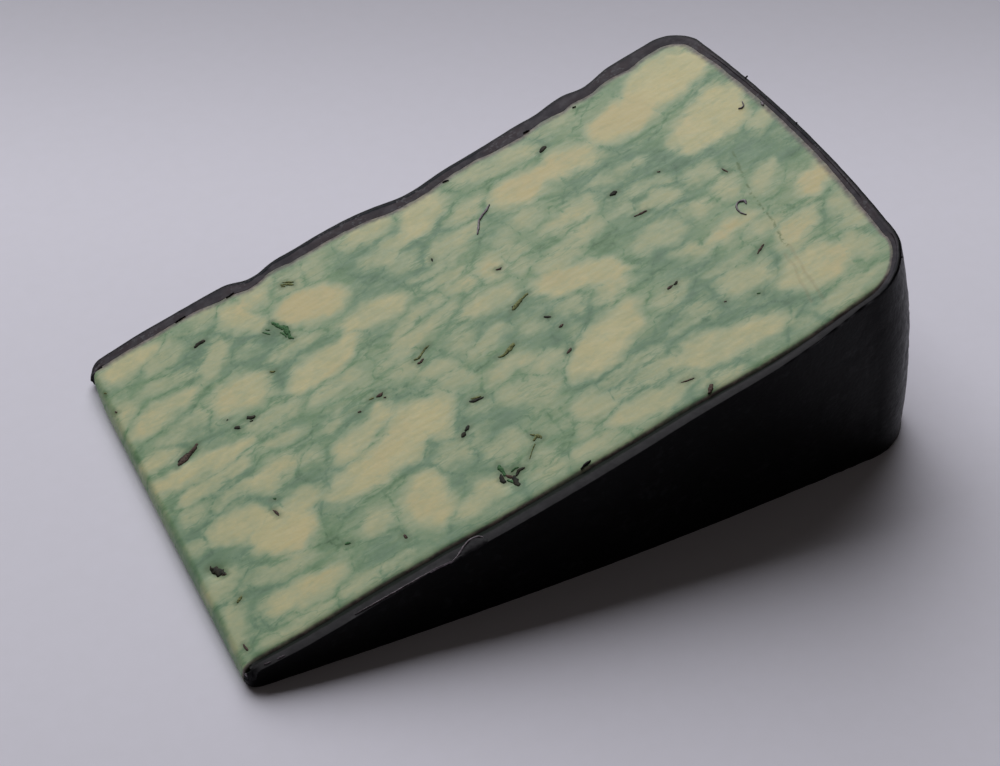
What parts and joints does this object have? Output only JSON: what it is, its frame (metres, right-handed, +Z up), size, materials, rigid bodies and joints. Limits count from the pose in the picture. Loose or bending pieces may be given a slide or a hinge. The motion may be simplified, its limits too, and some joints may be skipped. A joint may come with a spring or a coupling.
{
  "type": "sage cheese wedge",
  "caption": "Wedge of green-marbled sage cheese with black wax on its rim and flat sides, lying on one cut face with the other sloping up from a blunt tip.",
  "frame": {"origin": "middle of the bounding box's bottom face, under the wedge, on the cut face it lies on", "axes": "+X from the blunt tip to the waxed rim, +Y across the thickness of the wheel it was cut from, +Z up"},
  "size_m": [0.108, 0.0688, 0.0348],
  "materials": {
    "marbled_cheese": "moist cut cheese, pale cream curds veined with sage green",
    "black_wax": "soft-sheen black cheese wax, charcoal where it is cut",
    "sage_herb": "dull dark green and brown flecks of dried herb"
  },
  "bodies": {
    "root": {"cheese_wedge": "marbled_cheese"}
  },
  "joints": []
}
